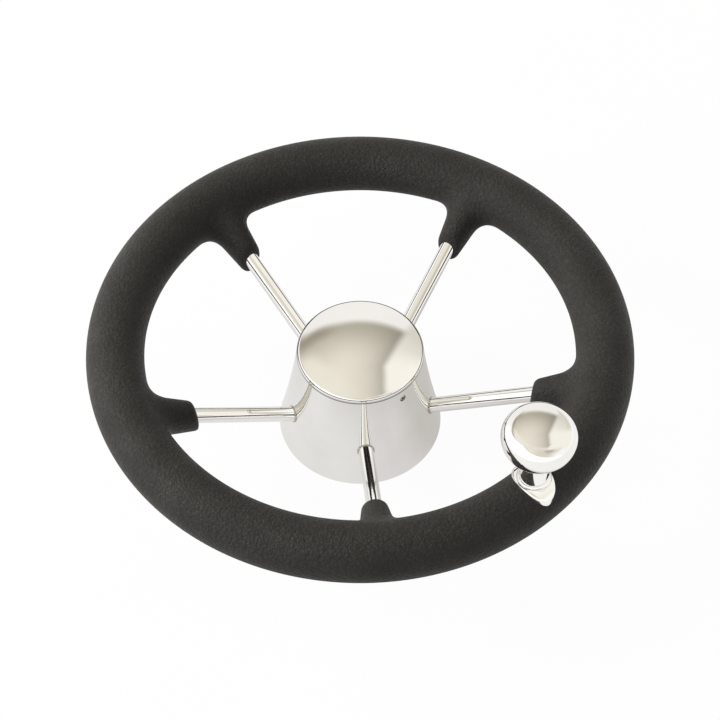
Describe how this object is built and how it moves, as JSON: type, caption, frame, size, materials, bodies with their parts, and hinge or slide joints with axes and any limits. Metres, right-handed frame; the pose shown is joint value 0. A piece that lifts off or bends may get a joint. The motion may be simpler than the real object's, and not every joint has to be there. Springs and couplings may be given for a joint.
{
  "type": "marine steering wheel",
  "caption": "Round boat steering wheel with a foam-covered rim, slanted rod spokes, a conical hub with a domed cap, and a knob that turns on the rim.",
  "frame": {"origin": "centre of the hub shell's open end, the face that stands nearest the dashboard", "axes": "+Z along the steering axis towards the helmsman; the bottom spoke points along -Y, so +Y is up on a wheel set straight ahead"},
  "size_m": [0.2799, 0.2799, 0.1258],
  "materials": {
    "foam": "matte moulded skin with a fine pebbled grain",
    "polished": "mirror-polished stainless steel",
    "tube": "plain drawn steel tube",
    "machined": "turned steel",
    "weld": "rippled weld metal",
    "fastener": "bright stainless fastener",
    "bearing": "natural acetal"
  },
  "bodies": {
    "wheel": {"rim_core_ring": "tube", "foam_grip": "foam", "spoke_bottom": "polished", "spoke_lower_right": "polished", "spoke_upper_right": "polished", "spoke_upper_left": "polished", "spoke_lower_left": "polished", "hub_shell": "polished", "hub_boss": "machined", "hub_plate": "machined", "hub_weld_beads": "polished", "boss_weld_beads": "weld", "core_weld_beads": "weld", "cap_seat_ring": "machined", "cap_grub_screw": "fastener", "shaft_washer": "fastener", "shaft_nut": "fastener", "knob_pedestal": "polished", "knob_bolt": "fastener", "knob_bolt_washer": "fastener", "knob_spindle": "fastener", "knob_thrust_washer": "bearing", "knob_head_washer": "bearing"},
    "knob": {"knob_bush": "bearing", "knob_hub": "machined", "knob_ball": "polished"},
    "cap": {"centre_cap": "polished", "cap_spigot": "machined"}
  },
  "joints": [
    {"name": "knob_spin", "type": "hinge", "parent": "wheel", "child": "knob", "pos_m": [0.075, -0.10025, 0.11], "axis": [0, 0, 1], "continuous": true},
    {"name": "cap_lift", "type": "slide", "parent": "wheel", "child": "cap", "axis": [0, 0, 1], "range_m": [0, 0.03]}
  ]
}
